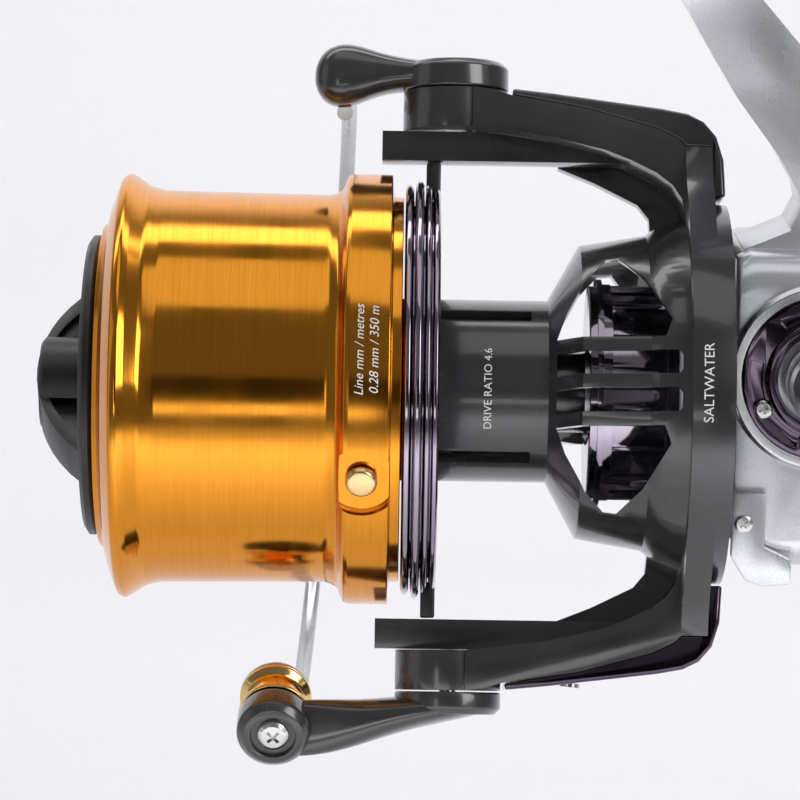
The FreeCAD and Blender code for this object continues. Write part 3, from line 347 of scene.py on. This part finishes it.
cutter = lathe("clip_pocket", [(38.75, 0.0, 0), (44.0, 0.0, 0), (44.0, 7.1, 0), (39.3, 6.6, 0.3), (38.75,
    6.1, 0)],
               Matrix.Translation(clip_spot) @ clip_turn, 72)
carve = spool.modifiers.new("pocket", "BOOLEAN")
carve.object = cutter
carve.solver = "EXACT"
bpy.context.view_layer.update()
spool.data = bpy.data.meshes.new_from_object(spool.evaluated_get(bpy.context.evaluated_depsgraph_get()))
spool.modifiers.clear()
bpy.data.objects.remove(cutter)
settle(spool, gold, "spool")
champagne = finish_of("champagne_polish", ((0.72, 0.50, 0.22), (0.82, 0.60, 0.30)), (0.18, 0.28),
                      metallic=1.0, bump=0.05)
clip = lathe("line_clip_turned", [(35.0, 0.0, 0), (35.0, 1.2), (38.7, 1.2), (38.7, 1.7), (39.35, 1.7),
                                  (39.35, 2.8, 0.2),
                                  (40.0, 3.0, 0.4), (40.9, 2.4, 0.7), (41.2, 0.0, 0)],
             Matrix.Translation(clip_spot) @ clip_turn, 64)
settle(clip, champagne, "line_clip")

# Drag knob: satin black moulding, a round dish with an arched finger bar across it.
refined("drag_knob", satin_black, 0.45, 26.0, 3)

# Line guard: four thin plated rings on a disc that follows the spool, keyed to the neck,
# with a black post top and bottom that runs under each rail.
guard = lathe("line_guard_rings", [
    (-46.4, 17.6), (-46.4, 38.2, 0.3), (-46.0, 38.9, 0.4), (-45.2, 38.9, 0.4), (-44.8, 38.0, 0.1), (-44.75,
        35.8, 0.05),
    (-44.6, 35.8, 0.05), (-44.5, 38.8, 0.3), (-44.1, 39.6, 0.4), (-43.3, 39.6, 0.4), (-42.9, 38.8, 0.2),
    (-42.85, 35.8, 0.05), (-42.7, 35.8, 0.05), (-42.6, 38.2, 0.3), (-42.2, 38.9, 0.3), (-41.7, 38.9, 0.3),
    (-41.35, 38.2, 0.2), (-41.3, 35.8, 0.05), (-41.15, 35.8, 0.05), (-41.1, 37.6, 0.3), (-40.8, 38.2, 0.3),
    (-40.2, 38.2, 0.3), (-39.8, 37.5, 0.3), (-39.8, 35.4, 0.3), (-44.2, 35.0, 0.5), (-44.6, 22.0, 0.5),
    (-41.0, 19.6, 0.3), (-41.0, 17.6)], segments=256)
REST = Matrix.Translation((0, 0, AXIS_Z)) @ Matrix.Rotation(REST_TURN, 4, "X")
settle(guard, lilac_chrome, body="guard")


def moulded(name, corner_low, corner_high, radius, place=Matrix()):
    """A rounded block between two corners in mm."""
    work = bmesh.new()
    bmesh.ops.create_cube(work, size=1.0)
    low, high = Vector(corner_low) * MM, Vector(corner_high) * MM
    for vert in work.verts:
        vert.co = Vector([low[i] if vert.co[i] < 0 else high[i] for i in range(3)])
    bmesh.ops.bevel(work, geom=work.edges, offset=radius * MM, segments=3, profile=0.5, affect="EDGES")
    mesh = bpy.data.meshes.new(name)
    work.to_mesh(mesh)
    work.free()
    mesh.transform(place)
    obj = bpy.data.objects.new(name, mesh)
    bpy.context.collection.objects.link(obj)
    return obj


for name, low, high in (("guard_post_upper", 36.5, 43.2), ("guard_post_lower", -43.2, -36.5)):
    settle(moulded(name, (-42.5, -2.6, low), (-39.8, 2.6, high), 0.4, REST), satin_black, body="guard")
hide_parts("line_guard")

# Clutch cover: stamped and plated, seen through the windows in the rotor's head. The repeat
# group copies one feature evenly round the X axis; it makes the ribs of the handle's grip.
around = bpy.data.node_groups.new("ring_repeat", "GeometryNodeTree")
around.interface.new_socket("Feature", in_out="INPUT", socket_type="NodeSocketGeometry")
around.interface.new_socket("Count", in_out="INPUT", socket_type="NodeSocketInt").default_value = 12
around.interface.new_socket("Start turn", in_out="INPUT", socket_type="NodeSocketFloat").default_value = 0.0
around.interface.new_socket("Finish", in_out="INPUT", socket_type="NodeSocketMaterial")
around.interface.new_socket("Ring", in_out="OUTPUT", socket_type="NodeSocketGeometry")
ring_in, ring_out = around.nodes.new("NodeGroupInput"), around.nodes.new("NodeGroupOutput")
spots = around.nodes.new("GeometryNodeMeshLine")
spots.inputs["Offset"].default_value = (0, 0, 0)
index = around.nodes.new("GeometryNodeInputIndex")
share, sweep_by, start_by = (around.nodes.new("ShaderNodeMath") for _ in range(3))
share.operation, sweep_by.operation, start_by.operation = "DIVIDE", "MULTIPLY", "ADD"
sweep_by.inputs[1].default_value = 2 * math.pi
spin = around.nodes.new("ShaderNodeCombineXYZ")
copies = around.nodes.new("GeometryNodeInstanceOnPoints")
real = around.nodes.new("GeometryNodeRealizeInstances")
coated = around.nodes.new("GeometryNodeSetMaterial")
for source, target in (
        (ring_in.outputs["Count"], spots.inputs["Count"]), (index.outputs[0], share.inputs[0]),
        (ring_in.outputs["Count"], share.inputs[1]), (share.outputs[0], sweep_by.inputs[0]),
        (sweep_by.outputs[0], start_by.inputs[0]), (ring_in.outputs["Start turn"], start_by.inputs[1]),
        (start_by.outputs[0], spin.inputs["X"]), (spots.outputs["Mesh"], copies.inputs["Points"]),
        (ring_in.outputs["Feature"], copies.inputs["Instance"]), (spin.outputs[0], copies.inputs["Rotation"]),
        (copies.outputs["Instances"], real.inputs["Geometry"]), (real.outputs["Geometry"],
            coated.inputs["Geometry"]),
        (ring_in.outputs["Finish"], coated.inputs["Material"]), (coated.outputs["Geometry"],
            ring_out.inputs["Ring"])):
    around.links.new(source, target)


def repeated(obj, count, material, place, start=0.0):
    """Copy one feature evenly round the X axis, then put the ring in place."""
    ring = obj.modifiers.new("ring", "NODES")
    ring.node_group = around
    values = {"Count": count, "Start turn": start, "Finish": material}
    for item in around.interface.items_tree:
        if item.in_out == "INPUT" and item.name in values:
            ring[item.identifier] = values[item.name]
    bpy.context.view_layer.update()
    obj.data = bpy.data.meshes.new_from_object(obj.evaluated_get(bpy.context.evaluated_depsgraph_get()))
    obj.modifiers.clear()
    obj.data.transform(place)
    return obj


refined("clutch_cover", lilac_chrome, 0.25, 26.0, 3)

# Bail: two black arms on pivots, a stainless wire loop between them, and a roller that
# carries the line at the lower end.
def limb(name, sections, squareness=2.5, around=28):
    """A closed smooth limb through (x, y, z, half width, half height) sections in mm."""
    work = bmesh.new()
    rings = []
    for x, y, z, wide, high in sections:
        ring = []
        for i in range(around):
            a = 2 * math.pi * i / around
            c, s = math.cos(a), math.sin(a)
            power = 2.0 / squareness
            ring.append(work.verts.new(((x) * MM, (y + wide * math.copysign(abs(c) ** power, c)) * MM,
                                        (z + high * math.copysign(abs(s) ** power, s)) * MM)))
        rings.append(ring)
    for a, b in zip(rings, rings[1:]):
        for i in range(around):
            k = (i + 1) % around
            work.faces.new((a[i], a[k], b[k], b[i]))
    work.faces.new(rings[0][::-1])
    work.faces.new(rings[-1])
    bmesh.ops.recalc_face_normals(work, faces=work.faces)
    mesh = bpy.data.meshes.new(name)
    work.to_mesh(mesh)
    work.free()
    obj = bpy.data.objects.new(name, mesh)
    bpy.context.collection.objects.link(obj)
    curve = obj.modifiers.new("smooth", "SUBSURF")
    curve.levels = curve.render_levels = 2
    bpy.context.view_layer.update()
    obj.data = bpy.data.meshes.new_from_object(obj.evaluated_get(bpy.context.evaluated_depsgraph_get()))
    obj.modifiers.clear()
    return obj


def join(first, *others):
    for other in others:
        work = bmesh.new()
        work.from_mesh(first.data)
        work.from_mesh(other.data)
        work.to_mesh(first.data)
        work.free()
        bpy.data.objects.remove(other)
    return first


UP = Matrix.Rotation(math.radians(-90.0), 4, "Y")
upper_disc = lathe("disc", [(57.1, 0.0, 0), (57.1, 10.0, 0.5), (61.4, 10.0, 0.9), (62.5, 8.8, 0.8), (62.5,
    0.0, 0)],
                   Matrix.Translation((-0.0371, 0, 0)) @ UP, 96)
upper = limb("bail_arm_upper_cast", [
    (-64.1, 0, 59.7, 0.8, 0.9), (-63.7, 0, 59.7, 2.6, 2.8), (-62.4, 0, 59.8, 4.4, 4.8), (-60.2, 0, 59.9,
        5.5, 6.0),
    (-57.4, 0, 60.0, 5.7, 6.1), (-54.4, 0, 60.3, 5.3, 5.1), (-51.2, 0, 60.4, 4.9, 3.9), (-47.0, 0, 60.3,
        5.2, 3.1),
    (-42.0, 0, 60.0, 6.4, 2.8), (-36.0, 0, 59.8, 7.4, 2.6), (-33.0, 0, 59.8, 6.6, 2.4)])
join(upper, upper_disc)
upper.data.transform(REST)
settle(upper, black_paint, "bail_arm_upper", smooth=40)

ROLLER_TILT = math.radians(29.0)
roller_way = Vector((0.0, math.cos(ROLLER_TILT), math.sin(ROLLER_TILT)))
ROLLER = Matrix.Translation((-0.0696, 0.0012, -0.0602)) @ roller_way.to_track_quat("X",
    "Z").to_matrix().to_4x4()
lower_disc = lathe("disc", [(-57.1, 0.0, 0), (-57.1, 10.0, 0.5), (-60.2, 10.0, 0.9), (-61.3, 8.8, 0.8),
                            (-61.3, 0.0, 0)],
                   Matrix.Translation((-0.0371, 0, 0)) @ UP, 96)
boss = lathe("boss", [(-12.4, 4.3, 0.3), (-12.0, 5.6, 0.9), (-10.6, 6.9, 1.4), (-5.6, 6.9, 0.6), (-5.4,
    0.0, 0),
                      (-11.0, 0.0, 0), (-11.0, 4.15, 0.1)], ROLLER, 96)
lower = limb("bail_arm_lower_cast", [
    (-30.0, 0.0, -59.4, 4.0, 1.5), (-34.0, -0.5, -59.7, 8.0, 2.3), (-40.0, -1.2, -60.4, 8.2, 2.9),
    (-47.0, -2.6, -61.6, 6.6, 3.5), (-54.0, -4.4, -63.2, 4.6, 4.4), (-60.0, -5.2, -64.0, 2.8, 5.2),
    (-66.0, -5.2, -64.4, 1.9, 5.4), (-70.5, -5.2, -64.5, 1.7, 4.8), (-74.0, -5.2, -64.4, 1.4, 3.0)])
join(lower, lower_disc, boss)
lower.data.transform(REST)
settle(lower, black_paint, "bail_arm_lower", smooth=40)

steel = finish_of("satin_stainless", ((0.46, 0.46, 0.47), (0.62, 0.62, 0.63)), (0.22, 0.32), metallic=1.0,
                  bump=0.03)
nickel = finish_of("nickel_plate", ((0.62, 0.61, 0.58), (0.72, 0.71, 0.69)), (0.14, 0.24), metallic=1.0,
                   bump=0.03)
wire_path = []
for i in range(121):
    a = math.radians(108.8 - (108.8 + 115.5) * i / 120.0)
    wire_path.append(Vector((0.0, 0.027 + 0.059 * math.cos(a), -0.059 * math.sin(a))))
lean = Matrix.Translation((-0.062, 0, 0)) @ Matrix.Rotation(math.radians(4.0), 4, "Y")
work = bmesh.new()
rings = []
for i, spot in enumerate(wire_path):
    along = (wire_path[min(i + 1, 120)] - wire_path[max(i - 1, 0)]).normalized()
    side = along.cross(Vector((1, 0, 0)))
    rings.append([work.verts.new(spot + 0.00155 * (math.cos(t) * Vector((1, 0, 0)) + math.sin(t) * side))
                  for t in (2 * math.pi * k / 20 for k in range(20))])
for a, b in zip(rings, rings[1:]):
    for i in range(20):
        work.faces.new((a[i], a[(i + 1) % 20], b[(i + 1) % 20], b[i]))
work.faces.new(rings[0])
work.faces.new(rings[-1])
bmesh.ops.recalc_face_normals(work, faces=work.faces)
mesh = bpy.data.meshes.new("bail_wire_bent")
work.to_mesh(mesh)
work.free()
mesh.transform(REST @ lean)
wire = bpy.data.objects.new("bail_wire_bent", mesh)
bpy.context.collection.objects.link(wire)
settle(wire, steel, "bail_wire")
bail_cone = lathe("bail_cone_turned", [(4.2, 1.5, 0), (4.2, 6.6, 0.3), (5.0, 6.6, 0.5), (9.0, 4.6, 2.0),
                                       (13.2, 2.2, 0.5),
                                       (13.2, 1.5, 0)], REST @ ROLLER, 96)
settle(bail_cone, steel, "bail_cone")
roller_gold = finish_of("gold_nitride", ((0.80, 0.52, 0.18), (0.90, 0.62, 0.26)), (0.10, 0.18),
                        metallic=1.0, bump=0.01)
roller = lathe("line_roller_turned", [(-4.4, 2.3, 0.1), (-4.4, 6.8, 0.3), (-3.4, 6.8, 0.4), (-2.0, 5.4,
    1.0), (2.0, 5.4, 1.0),
                                      (3.0, 6.8, 0.4), (3.8, 6.8, 0.3), (3.8, 2.3, 0.1)], REST @ ROLLER, 96)
settle(roller, roller_gold, "line_roller")


def cross_screw(name, radius, high, shank, long, place, material):
    """A pan-head screw with a cross recess; its axis is +X and its seat is at 0."""
    head = lathe(name, [(-long, 0.0, 0), (-long, shank, 0.1), (0.0, shank, 0), (0.0, radius * 0.96, 0.05),
                        (high * 0.55, radius, 0.25), (high, radius * 0.72, 0.5), (high * 1.08, 0.0, 0)],
                        Matrix(), 64)
    tool = bpy.data.meshes.new("cross")
    cutter = bmesh.new()
    for wide, deep in ((radius * 1.15, radius * 0.24), (radius * 0.24, radius * 1.15)):
        made = bmesh.ops.create_cube(cutter, size=1.0)
        for vert in made["verts"]:
            x = (high * 1.5) if vert.co.x > 0 else high * 0.25
            shrink = 1.0 if vert.co.x > 0 else 0.55
            vert.co = Vector((x, vert.co.y * wide * shrink, vert.co.z * deep * shrink)) * MM
    cutter.to_mesh(tool)
    cutter.free()
    blade = bpy.data.objects.new("cross", tool)
    bpy.context.collection.objects.link(blade)
    cut = head.modifiers.new("recess", "BOOLEAN")
    cut.object = blade
    cut.use_self = True
    bpy.context.view_layer.update()
    head.data = bpy.data.meshes.new_from_object(head.evaluated_get(bpy.context.evaluated_depsgraph_get()))
    head.modifiers.clear()
    bpy.data.objects.remove(blade)
    head.data.transform(place)
    return head


out_of_roller = REST @ ROLLER @ Matrix.Translation((-0.0110, 0, 0)) @ Matrix.Rotation(math.pi, 4, "Z") \
    @ Matrix.Rotation(math.radians(45), 4, "X")
settle(cross_screw("roller_screw_turned", 3.0, 1.3, 1.5, 18.8, out_of_roller, nickel), nickel,
       "roller_screw", smooth=40)
for name, up, height in (("pivot_screw_upper", 1, 62.5), ("pivot_screw_lower", -1, 61.3)):
    seat = REST @ Matrix.Translation((-0.0371, 0,
                                      up * height * MM)) @ Matrix.Rotation(math.radians(-90.0 * up), 4, "Y")
    settle(cross_screw(name + "_turned", 3.4, 0.9, 1.6, 10.0, seat, nickel), nickel, name, smooth=40)

# Handle side: silver bezel and plated collar ring round the hub, three cross screws, and
# the machined hub with its arm and soft grip.
bright = finish_of("machined_alloy", ((0.66, 0.67, 0.69), (0.80, 0.81, 0.83)), (0.18, 0.30), metallic=1.0,
                   bump=0.03)
OUT = Matrix.Translation((DRIVE_X, 0, DRIVE_Z)) @ Matrix.Rotation(math.radians(-90.0), 4, "Z")
refined("collar_ring", plum_plate, 0.2)
bezel = lathe("collar_bezel_turned", [(22.0, 7.0), (22.0, 17.7, 0.3), (23.8, 17.7, 0.6), (24.6, 16.9, 0.4),
                                      (24.6, 15.3, 0.2),
                                      (23.2, 15.3, 0.1), (23.2, 7.0)], OUT, 160)
settle(bezel, bright, "collar_bezel")
for i in range(3):
    a = math.radians(207.9 + 120.0 * i)
    seat = Matrix.Translation((DRIVE_X + 0.0126 * math.cos(a), -0.0244,
                               DRIVE_Z + 0.0126 * math.sin(a))) \
        @ Matrix.Rotation(math.radians(-90.0), 4, "Z") @ Matrix.Rotation(math.radians(20 + 33 * i), 4, "X")
    settle(cross_screw("collar_screw_turned_%d" % (i + 1), 1.75, 0.7, 0.85, 0.1, seat, nickel), nickel,
           "collar_screw_%d" % (i + 1), smooth=40)
hub = lathe("handle_hub_turned", [(25.0, 0.0, 0), (25.0, 5.7, 0.2), (27.0, 5.7, 0.2), (27.6, 7.5, 0.3),
                                  (34.0, 7.5, 0.3),
                                  (34.8, 6.7, 0.3), (65.0, 6.7, 0.3), (66.0, 7.5, 0.3), (74.0, 7.5, 0.5),
                                  (74.0, 0.0, 0)],
            OUT, 128)
settle(hub, bright, "handle_hub")
refined("handle_arm", bright, 0.8, 26.0, 3)
refined("handle_cap", bright, 0.3)
refined("grip_cap", bright, 0.3)
rubber = finish_of("soft_touch_rubber", ((0.014, 0.014, 0.014), (0.024, 0.024, 0.024)), (0.55, 0.7), bump=0.3)
TIP = Matrix.Translation((GRIP_X, 0, DRIVE_Z)) @ Matrix.Rotation(math.radians(-90.0), 4, "Z")
grip = lathe("handle_grip_moulded", [(75.0, 4.2, 0.2), (75.0, 7.5, 0.5), (78.0, 8.4, 1.5), (83.0, 8.0,
    3.0), (90.0, 13.0, 4.0),
                                     (97.0, 16.0, 4.0), (103.0, 15.6, 3.0), (108.5, 12.0, 3.0), (110.5,
                                         9.0, 0.8),
                                     (110.5, 7.4, 0.2), (108.5, 7.4, 0), (108.5, 4.2, 0)], TIP, 128)
join(grip, repeated(moulded("grip_rib", (95.5, -0.55, 14.0), (104.5, 0.55, 16.25), 0.25), 32, rubber, TIP))
settle(grip, rubber, "handle_grip")
settle(cross_screw("front_screw_turned", 1.75, 0.55, 0.85, 0.9,
                   Matrix.Translation((0.01695, -0.0242,
                                       AXIS_Z - 0.0196)) @ Matrix.Rotation(math.radians(-90.0), 4, "Z")
                   @ Matrix.Rotation(math.radians(40), 4, "X"), nickel), nickel, "front_screw", smooth=40)

# Works inside: brass pinion and nut, alloy gears, steel shaft, bearings and springs, felt
# drag washers and acetal bushes.
brass = finish_of("machined_brass", ((0.72, 0.50, 0.20), (0.82, 0.60, 0.28)), (0.20, 0.32), metallic=1.0,
                  bump=0.05)
alloy = finish_of("cast_gear_alloy", ((0.42, 0.42, 0.43), (0.56, 0.56, 0.57)), (0.34, 0.46), metallic=1.0,
                  bump=0.12)
felt = finish_of("greased_felt", ((0.16, 0.14, 0.12), (0.26, 0.23, 0.20)), (0.75, 0.9), bump=0.6)
acetal = finish_of("white_acetal", ((0.72, 0.71, 0.67), (0.80, 0.79, 0.75)), (0.35, 0.5), bump=0.05)
for node, material in (
        ("pinion_gear", brass), ("rotor_nut", brass), ("spool_seat", brass), ("drive_gear", alloy),
        ("drive_spur", alloy),
        ("oscillation_gear", alloy), ("oscillation_slider", alloy), ("main_shaft", steel),
        ("one_way_clutch", steel),
        ("pinion_bearing", steel), ("drive_bearing_near", steel), ("drive_bearing_far", steel),
        ("slider_guide", steel),
        ("clutch_sleeve", steel), ("bail_spring", steel), ("roller_sleeve", steel), ("drag_plate", steel),
        ("drag_clip", steel), ("knob_axle", steel), ("rotor_washer", steel), ("drag_felt_rear", felt),
        ("drag_felt_front", felt), ("spool_bushing", acetal), ("click_gear", acetal), ("knob_bush_near",
            acetal),
        ("knob_bush_far", acetal), ("cover_screw_lower", nickel), ("cover_screw_upper", nickel)):
    target = frame["nodes"][node].data
    target.materials.clear()
    target.materials.append(material)

# Printed marks: thin white ink, plain words and figures that any reel could carry.
ink = finish_of("white_ink", ((0.80, 0.80, 0.79), (0.90, 0.90, 0.89)), (0.4, 0.5), bump=0.05)


def print_round(name, words, size, radius, x, angle, body, place, slant=0.0, material=ink):
    """Ink wrapped on a drum round the X axis, reading upward on the -Y side."""
    curve = bpy.data.curves.new(name, "FONT")
    curve.body = words
    curve.size = size
    curve.shear = slant
    curve.align_x = "CENTER"
    curve.extrude = 0.02
    curve.resolution_u = 3
    obj = bpy.data.objects.new(name, curve)
    bpy.context.collection.objects.link(obj)
    bpy.context.view_layer.update()
    mesh = bpy.data.meshes.new_from_object(obj.evaluated_get(bpy.context.evaluated_depsgraph_get()))
    bpy.data.objects.remove(obj)
    for vert in mesh.vertices:
        along, up, out = vert.co
        a = math.radians(angle) + along / radius
        r = radius + 0.045 + out
        vert.co = Vector(((x - up) * MM, -r * math.cos(a) * MM, r * math.sin(a) * MM))
    mesh.transform(place)
    piece = bpy.data.objects.new(name, mesh)
    bpy.context.collection.objects.link(piece)
    settle(piece, material, body=body)
    return piece


DOWN = Matrix.Translation((0, 0, AXIS_Z))
print_round("spool_print_top", "Line mm / metres", 2.35, 40.75, -53.6, 21.0, "spool", DOWN, 0.25)
print_round("spool_print_low", "0.28 mm / 350 m", 2.35, 40.75, -50.9, 21.0, "spool", DOWN, 0.25)
print_round("neck_print", "DRIVE RATIO 4.6", 2.1, 17.25, -29.9, -3.0, "rotor", REST)
print_round("rim_print", "SALTWATER", 2.6, 36.0, 9.9, -1.2, "rotor", REST)
